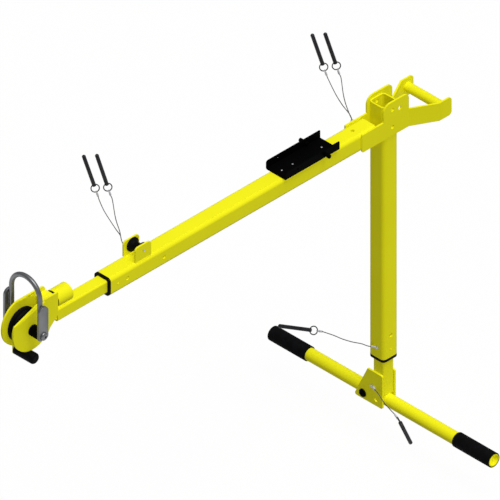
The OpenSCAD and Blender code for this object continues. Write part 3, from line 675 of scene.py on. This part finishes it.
# %% Grips
BAR_LOW = -1000
BAR_HALF = 464
grip_outline = [(20.7, 0), (22.6, 0), (23.7, 0.5), (24.3, 2.0), (24.3, 7), (23.6, 8), (24.3, 9),
                (24.3, 11), (23.6, 12), (24.3, 13), (24.3, 15), (23.6, 16), (24.3, 17),
                (24.3, 137), (23.6, 138), (24.3, 139), (24.3, 141), (23.6, 142), (24.3, 143),
                (24.3, 145), (23.6, 146), (24.3, 147), (24.3, 152), (23.7, 153.5), (22.6, 154),
                (20.7, 154)]
grip_length = grip_outline[-1][1]
for name, y in (("grip_right", -BAR_HALF), ("grip_left", BAR_HALF - grip_length)):
    grip = turned(name, grip_outline, (0, y, BAR_LOW), (0, 1, 0), 64)
    settle(grip, "crossbar", grip_rubber, "grips")
print("grips", grip_length, "mm long")

# %% [markdown]
# The crossbar and the carry bar are plain drawn tube and bar. The CAD mesh of a tube has few
# facets, and its shading shows them, so both are turned again with a fine step. The crossbar
# is then drilled for its fold bolt and its lock pin.

# %% Round bars
BAR_LENGTH = 2 * BAR_HALF
FOLD_Y = 58
bar_outline = [(17.45, 0), (20.1, 0), (20.65, 0.55), (20.65, BAR_LENGTH - 0.55),
               (20.1, BAR_LENGTH), (17.45, BAR_LENGTH)]
bar = turned("crossbar_drawn_tube", bar_outline, (0, -BAR_HALF, BAR_LOW), (0, 1, 0), 128)
for hole_y, hole_radius in ((FOLD_Y, 10.04), (4, 6.5)):
    bar = cut(bar, cutter_round((0, hole_y, BAR_LOW), (1, 0, 0), hole_radius, 60, sides=48))
settle(bar, "crossbar", yellow_coat, "crossbar_tube")
handle_radius = 15.875
handle_length = 154
handle = turned("carry_bar_drawn", [(0, 0), (handle_radius, 0), (handle_radius, handle_length),
                                    (0, handle_length)],
                (178.5, -handle_length / 2, 0), (0, 1, 0), 96)
settle(handle, "boom", yellow_coat, "carry_bar")
print("crossbar and carry bar turned")

# %% [markdown]
# ## Pulleys and the rope peg
# The end sheave is a cast wheel with a hub, a thin web and a rim whose groove is round at
# the bottom, as a rope lies in it. One flank of the outline is written down and mirrored for
# the other. Like the guide pulley, the sheave keeps the CAD wheel's outer sizes.

# %% End sheave
SHEAVE_AXLE = (-1502, 0, 8.5)


def groove(r_rim, r_low, half, rise, steps=8):
    spots = []
    for i in range(steps + 1):
        a = math.pi * (i / steps - 0.5)
        spots.append((r_low + rise * (1 - math.cos(a)), half * math.sin(a)))
    return [(r_rim, -half - 3)] + spots + [(r_rim, half + 3)]


def both_sides(half_outline):
    return [(r, -z) for r, z in half_outline], list(reversed(half_outline))


flank, other_flank = both_sides([
    (12.05, 20), (19.2, 20), (20, 19.2), (21.5, 13.5), (23, 13), (35, 13), (36.8, 14), (38, 19.2),
    (38.8, 20), (55.9, 20), (57, 18.9), (57, 14.2)])
sheave_outline = flank + groove(56.5, 45.4, 9.5, 7.5) + other_flank
sheave = turned("rope_sheave", sheave_outline, SHEAVE_AXLE, (0, 1, 0), 96)
settle(sheave, "sheave", black_moulding, "end_sheave")
print("sheave faces", len(sheave.data.polygons))

# %% [markdown]
# The guide pulley is a small spool, whose flanges flare out of a narrow waist. A quarter of a
# sine wave gives the flare, because it leaves the waist without a crease.

# %% Guide pulley
spool_half = [(8.02, 21.3), (23, 21.3), (24, 20.3), (24, 17)]
for i in range(1, 9):
    t = i / 8
    spool_half.append((24 - 9 * math.sin(math.pi / 2 * t), 17 - 13 * t))
flank, other_flank = both_sides(spool_half)
spool = turned("guide_spool", flank + other_flank, (-1034, 0, 61.5), (0, 1, 0), 72)
settle(spool, "pulley", black_moulding, "guide_pulley")
print("spool faces", len(spool.data.polygons))

# %% [markdown]
# Below the sheave a round peg guides the rope, and its near end is rounded over. Two spacers
# fill the room between the head's side plates and the bail's ears, and a washer takes the
# thrust of the swivel. All of them are plain turned parts.

# %% Rope peg, spacers and washer
SHEAVE_X, _, SHEAVE_Z = SHEAVE_AXLE
peg_outline = [(0, -51.5), (8, -51.5)]
for i in range(1, 8):
    a = math.radians(90 * i / 7)
    peg_outline.append((10 + 8 * math.sin(a), -43.5 - 8 * math.cos(a)))
peg_outline += [(18, 27.2), (17.2, 28), (0, 28)]
peg = turned("rope_guide_peg", peg_outline, (-1511.5, 0, -83), (0, 1, 0), 64)
settle(peg, "head", black_moulding, "rope_peg")
for name, y in (("spacer_near", -66.7), ("spacer_far", 28)):
    spacer = turned(name, [(8.04, 0), (17.3, 0), (18.5, 1.2), (18.5, 37.5), (17.3, 38.7),
                           (8.04, 38.7)], (SHEAVE_X, y, SHEAVE_Z), (0, 1, 0), 56)
    settle(spacer, "head", black_coat, "sheave_spacers")
washer = turned("thrust_washer", [(16.04, 0), (26.4, 0), (27, 0.6), (27, 3), (26.4, 3.6),
                                  (16.04, 3.6)], (-1394, 0, 51), (1, 0, 0), 72)
settle(washer, "head", black_moulding, "swivel_washer")
print("peg, spacers and washer done")

# %% [markdown]
# ## Bolts and screws
# Bolts with round button heads hold the sheave and the crossbar. Each bolt is turned in one
# piece, a low dome on its shank, and its hex socket is then cut with a six-sided cutter. The
# sheave bolt's nut is a dome of the same size without a socket.

# %% Button heads
def dome(radius, low, height, flat=0.25, steps=6):
    spots = [(radius, low)]
    rim = height * flat
    end = math.radians(80)
    for i in range(steps + 1):
        a = math.radians(80 * i / steps)
        spots.append((radius * math.cos(a),
                      low + rim + (height - rim) * math.sin(a) / math.sin(end)))
    spots.append((0, low + height))
    return spots


button_radius = 13.5
SHEAVE_BOLT_END = 76
sheave_button = dome(button_radius, 0.3, 7.7)
bolt = turned("sheave_bolt_button", [(0, -156), (8, -156), (8, 0.3)] + sheave_button,
              (SHEAVE_X, -SHEAVE_BOLT_END, SHEAVE_Z), (0, -1, 0), 56)
bolt = cut(bolt, cutter_round((SHEAVE_X, -SHEAVE_BOLT_END - 7.5, SHEAVE_Z), (0, -1, 0),
                              5.5, 9, sides=6))
settle(bolt, "head", bail_steel, "sheave_bolt")
cap = turned("sheave_cap_nut", [(0, 4.4), (8.04, 4.4), (8.04, 0.3)] + sheave_button,
             (SHEAVE_X, SHEAVE_BOLT_END, SHEAVE_Z), (0, 1, 0), 56)
settle(cap, "head", black_coat, "sheave_nut")
fold_button = dome(button_radius, 0, 8.3)
fold = turned("fold_bolt_button", [(0, -67.1), (6, -67.1), (6, 0)] + fold_button,
              (-28.575, FOLD_Y, BAR_LOW), (-1, 0, 0), 56)
fold = cut(fold, cutter_round((-36.9, FOLD_Y, BAR_LOW), (-1, 0, 0), 4.6, 8, sides=6))
settle(fold, "leg", black_coat, "fold_bolt")
print("button heads done")

# %% [markdown]
# Small pan screws hold the collars and the winch bracket. One outline serves all seven. The
# ones in the collars are painted over with the tube, and the bracket's are bright.

# %% Pan screws
pan_top = 1.8
pan = [(0, -4), (2.5, -4), (2.5, 0), (3.1, 0), (3.3, 0.25), (3.2, 0.9), (2.8, 1.4), (1.9, 1.7),
       (0, pan_top)]
bracket_floor = 36.51
screws = [
    ("mast_screw_near", (0, -31.5, -812), (0, -1, 0), "mast", "mast_collar_screws"),
    ("mast_screw_far", (0, 31.5, -812), (0, 1, 0), "mast", "mast_collar_screws"),
    ("boom_screw_near", (-1146, -31.75, 0), (0, -1, 0), "boom", "boom_collar_screws"),
    ("boom_screw_far", (-1146, 31.75, 0), (0, 1, 0), "boom", "boom_collar_screws"),
    ("bracket_screw_a", (-427, 0, bracket_floor), (0, 0, 1), "boom", "bracket_screws"),
    ("bracket_screw_b", (-382, 0, bracket_floor), (0, 0, 1), "boom", "bracket_screws"),
    ("bracket_screw_c", (-260, 0, bracket_floor), (0, 0, 1), "boom", "bracket_screws"),
]
for name, spot, way, body, node in screws:
    screw = turned(name, pan, spot, way, 32)
    tip = Vector(spot) + Vector(way) * pan_top
    screw = cut(screw, cutter_round(tip, way, 1.2, 2.2, sides=6))
    painted_over = "collar" in node
    settle(screw, body, yellow_coat if painted_over else zinc_plate, node)
print("pan screws", len(screws))

# %% [markdown]
# A bolt with a long rounded cap stands out on each side of the winch bracket, and its nut is
# inside the wall. The nut starts as a six-sided cylinder, and a bevel takes off its edges.

# %% Winch bracket bolts
BRACKET_BOLT_X = -288
bolt_outline = [(0, -12.76), (5, -12.76), (5, 0)] + dome(6.5, 0, 22, flat=0.85)
nut_depth = 6
bracket_inside = 38.24
for name, s in (("bracket_bolt_near", -1), ("bracket_bolt_far", 1)):
    stop = turned(name, bolt_outline, (BRACKET_BOLT_X, s * 43, 47.5), (0, s, 0), 48)
    settle(stop, "boom", black_coat, "bracket_bolts")
    nut_at = (BRACKET_BOLT_X, s * (bracket_inside - nut_depth / 2), 46)
    nut = cutter_round(nut_at, (0, s, 0), 8.5, nut_depth, sides=6)
    nut.name = name + "_nut"
    choose(nut)
    round_edges(nut, 0.6, sharper_than=30)
    settle(nut, "boom", black_coat, "bracket_bolts")
print("bracket bolts and nuts made")

# %% [markdown]
# ## Bail
# The bail is a round bar bent to an arch and welded inside two flat ears. For the arch, a
# circle of the bar's thickness is spun half a turn, as a bar is bent round a former.

# %% The bent bar
arch_x = SHEAVE_X * MM
arch_z = 0.13
arch_half = 0.0594
bpy.ops.object.select_all(action="DESELECT")
bpy.ops.mesh.primitive_circle_add(vertices=28, radius=8 * MM, fill_type="NOTHING")
arch = bpy.context.object
arch.name = "bail_bar"
arch.data.transform(Matrix.Translation((arch_x, -arch_half, arch_z)))
choose(arch)
bpy.ops.object.mode_set(mode="EDIT")
bpy.ops.mesh.select_all(action="SELECT")
bpy.ops.mesh.spin(steps=40, angle=math.pi, center=(arch_x, 0, arch_z), axis=(1, 0, 0))
bpy.ops.object.mode_set(mode="OBJECT")
print("arch top", round(max(v.co.z for v in arch.data.vertices), 4))

# %% [markdown]
# Both ends of the arch are open rings of edges. They are selected by their height, extruded
# straight down, drawn in a little at the tip and closed with a face.

# %% Pull both ends down
def ends_of(piece, level):
    grid = bmesh.from_edit_mesh(piece.data)
    for e in grid.edges:
        e.select = e.is_boundary and all(abs(v.co.z - level) < 1e-4 for v in e.verts)
    for v in grid.verts:
        v.select = any(e.select for e in v.link_edges)
    bmesh.update_edit_mesh(piece.data)


straight = 0.0725
tip = 0.002
choose(arch)
bpy.ops.object.mode_set(mode="EDIT")
bpy.ops.mesh.select_mode(type="EDGE")
ends_of(arch, arch_z)
bpy.ops.mesh.extrude_edges_move(TRANSFORM_OT_translate={"value": (0, 0, -straight)})
bpy.ops.mesh.extrude_edges_move(TRANSFORM_OT_translate={"value": (0, 0, -tip)})
bpy.ops.transform.resize(value=(0.97, 1, 0.97), center_override=(arch_x, 0, 0.0555))
bpy.ops.mesh.edge_face_add()
bpy.ops.mesh.select_all(action="SELECT")
bpy.ops.mesh.remove_doubles(threshold=MERGE)
bpy.ops.object.mode_set(mode="OBJECT")
face_outward(arch)
smooth_below(40)
settle(arch, "bail_loop", bail_steel, "bail")
print("bar low", round(min(v.co.z for v in arch.data.vertices), 4))

# %% [markdown]
# An ear is a flat bar with a round top and two round corners, drilled for the sheave bolt.
# Its outline is one face, which is extruded to the ear's thickness, cut, and rounded at its
# edges last, so that the drilled hole gets a round edge too.

# %% Ears
EAR_THICK = 9


def ear(name, y, half=19.75, top=85.25, low=-5, corner=8):
    outline = []
    for i in range(25):
        a = math.radians(180 * i / 24)
        outline.append((half * math.cos(a), top + half * math.sin(a)))
    for cx, start in ((corner - half, 180), (half - corner, 270)):
        for i in range(9):
            a = math.radians(start + 90 * i / 8)
            outline.append((cx + corner * math.cos(a), low + corner * math.sin(a)))
    points = [((SHEAVE_X + x) * MM, y * MM, (SHEAVE_Z + z) * MM) for x, z in outline]
    flat = add_mesh(name, points, faces=[tuple(range(len(points)))])
    choose(flat)
    bpy.ops.object.mode_set(mode="EDIT")
    bpy.ops.mesh.select_all(action="SELECT")
    bpy.ops.mesh.extrude_region_move(TRANSFORM_OT_translate={"value": (0, EAR_THICK * MM, 0)})
    bpy.ops.object.mode_set(mode="OBJECT")
    face_outward(flat)
    cut(flat, cutter_round((SHEAVE_X, y + EAR_THICK / 2, SHEAVE_Z), (0, 1, 0), 8.08, 20,
                           sides=48))
    round_edges(flat, 0.9)
    return settle(flat, "bail_loop", bail_steel, "bail")


ears = [ear("ear_far", 67), ear("ear_near", -67 - EAR_THICK)]
print("ears", [len(e.data.polygons) for e in ears])

# %% [markdown]
# ## Weld beads
# Welds are what turns tubes and plates into one machine. A bead is a row of overlapping
# ripples, so it is swept like the wire rope, with a radius that swells and shrinks along it.
# Only joints that a welder could reach get one.

# %% A weld bead
def bead(name, a, b, body, paint, radius=2.0, *nodes, pitch=2.2, n=10):
    a = Vector(a) * MM
    b = Vector(b) * MM
    count = max(6, int((b - a).length / (pitch * MM) * 4))
    way = (b - a).normalized()
    side = way.cross(across(way)).normalized()
    up = way.cross(side)
    points = []
    for i in range(count + 1):
        t = i / count
        taper = min(1, 6 * t + 0.25, 6 * (1 - t) + 0.25)
        r = radius * MM * (0.86 + 0.14 * abs(math.sin(math.pi * i / 4))) * taper
        for k in range(n):
            c = 2 * math.pi * k / n
            points.append(a.lerp(b, t) + r * (math.cos(c) * side + math.sin(c) * up))
    piece = add_mesh(name, points, faces=sweep_faces(count + 1, n))
    face_outward(piece)
    smooth_below(60)
    return settle(piece, body, paint, *nodes)


print("bead helper ready")

# %% [markdown]
# Every seam has a twin on the other side of the machine, so one loop lays both. The beads on
# the bail are bare like its bar, and the others are painted over with the tubes.

# %% Welds
for s, word in ((-1, "near"), (1, "far")):
    bead("weld_plate_front_" + word, (-127.5, s * 33, -26), (-127.5, s * 33, 26),
                      "boom", yellow_coat)
    bead("weld_cheek_" + word, (-1067, s * 28.4, 32), (-1005, s * 28.4, 32),
                      "boom", yellow_coat, 1.6)
    bead("weld_gusset_" + word, (s * 22.6, -21.6, -976), (s * 22.6, -21.6, -905),
                      "leg", yellow_coat, 1.6)
    bead("weld_gusset_far_" + word, (s * 22.6, 22.6, -976), (s * 22.6, 22.6, -905),
                      "leg", yellow_coat, 1.6)
    bead("weld_housing_" + word, (-1389, s * 7, 22.9), (-1333, s * 7, 22.9),
                      "inner_boom", yellow_coat, 2.2)
    bead("weld_block_" + word, (-1436, s * 21.4, 75.4), (-1398, s * 21.4, 75.4),
                      "head", yellow_coat, 1.6)
    for place, x in (("", SHEAVE_X - 6), ("rear_", SHEAVE_X + 6)):
        bead("weld_ear_" + place + word, (x, s * 65.4, 58), (x, s * 65.4, 106),
                          "bail_loop", bail_steel, 1.8, "bail")

# %% [markdown]
# ## Floor, light and background
# The photograph has a plain white ground. If that white lit the hoist, it would wash out the
# paint. So the floor and the world are white only to rays that look at them, and the Light
# Path node tells which rays those are.

# %% Rays that see the white
def ray_is(tree, *kinds):
    path = tree.nodes.new("ShaderNodeLightPath")
    either = tree.nodes.new("ShaderNodeMath")
    either.operation = "MAXIMUM"
    for i, kind in enumerate(kinds):
        tree.links.new(path.outputs[kind], either.inputs[i])
    return either.outputs["Value"]


print("ray helper ready")

# %% [markdown]
# To the camera and in reflections, the floor is a white glow mixed with a little plain
# diffuse, which is what keeps the hoist's shadow on it. To all other rays it is a matt grey.

# %% Floor
bpy.ops.object.select_all(action="DESELECT")
bpy.ops.mesh.primitive_plane_add(size=16, location=(0, 0, 0))
floor = bpy.context.object
floor.name = "floor"
floor.data.transform(Matrix.Translation((-0.6, 0, -1.14)))
ground = bpy.data.materials.new("white ground")
ground.use_nodes = True
tree = ground.node_tree
tree.nodes.clear()
out = tree.nodes.new("ShaderNodeOutputMaterial")
matt = tree.nodes.new("ShaderNodeBsdfDiffuse")
matt.inputs["Color"].default_value = (0.36, 0.36, 0.36, 1)
seen = tree.nodes.new("ShaderNodeMixShader")
shade = tree.nodes.new("ShaderNodeBsdfDiffuse")
shade.inputs["Color"].default_value = (0.9, 0.9, 0.9, 1)
glow = tree.nodes.new("ShaderNodeEmission")
glow.inputs["Strength"].default_value = 1.0
part = tree.nodes.new("ShaderNodeMixShader")
part.inputs["Fac"].default_value = 0.94
tree.links.new(ray_is(tree, "Is Camera Ray", "Is Glossy Ray"), seen.inputs["Fac"])
tree.links.new(shade.outputs["BSDF"], part.inputs[1])
tree.links.new(glow.outputs["Emission"], part.inputs[2])
tree.links.new(matt.outputs["BSDF"], seen.inputs[1])
tree.links.new(part.outputs["Shader"], seen.inputs[2])
tree.links.new(seen.outputs["Shader"], out.inputs["Surface"])
floor.data.materials.append(ground)
print("floor at", round(floor.data.vertices[0].co.z, 3), "m")

# %% [markdown]
# The world is full white where the camera looks past the floor, or would through glass. As a
# light it is a dim and even white that fills the shadows.

# %% World
world = bpy.data.worlds.new("white room")
bpy.context.scene.world = world
world.use_nodes = True
tree = world.node_tree
tree.nodes.clear()
out = tree.nodes.new("ShaderNodeOutputWorld")
soft = tree.nodes.new("ShaderNodeBackground")
soft.inputs["Color"].default_value = (1, 1, 1, 1)
soft.inputs["Strength"].default_value = 0.3
white = tree.nodes.new("ShaderNodeBackground")
white.inputs["Strength"].default_value = 1.0
white.inputs["Color"].default_value = (1, 1, 1, 1)
mixed = tree.nodes.new("ShaderNodeMixShader")
tree.links.new(ray_is(tree, "Is Camera Ray", "Is Transmission Ray"), mixed.inputs["Fac"])
tree.links.new(soft.outputs["Background"], mixed.inputs[1])
tree.links.new(white.outputs["Background"], mixed.inputs[2])
tree.links.new(mixed.outputs["Shader"], out.inputs["Surface"])
print("world gives", round(soft.inputs["Strength"].default_value, 2))


# %% [markdown]
# A broad sun from above and a little to the near side gives the three faces of a tube their
# three tones. It is split into a weaker one that casts shadows and a stronger one that
# doesn't, because the picture keeps the insides of the head nearly as light as its outsides.

# %% Suns
def sun(name, towards, strength, width):
    lamp = bpy.data.lights.new(name, "SUN")
    lamp.energy = strength
    lamp.angle = math.radians(width)
    holder = bpy.data.objects.new(name, lamp)
    bpy.context.scene.collection.objects.link(holder)
    holder.rotation_euler = Vector(towards).to_track_quat("Z", "Y").to_euler()
    return holder


above = (-0.06, -0.927, 2.26)
sun("key", above, 0.69, 25)
even_light = sun("key without shadow", above, 1.75, 25)
even_light.data.use_shadow = False
bpy.context.scene.view_settings.view_transform = "Standard"
print("two suns")
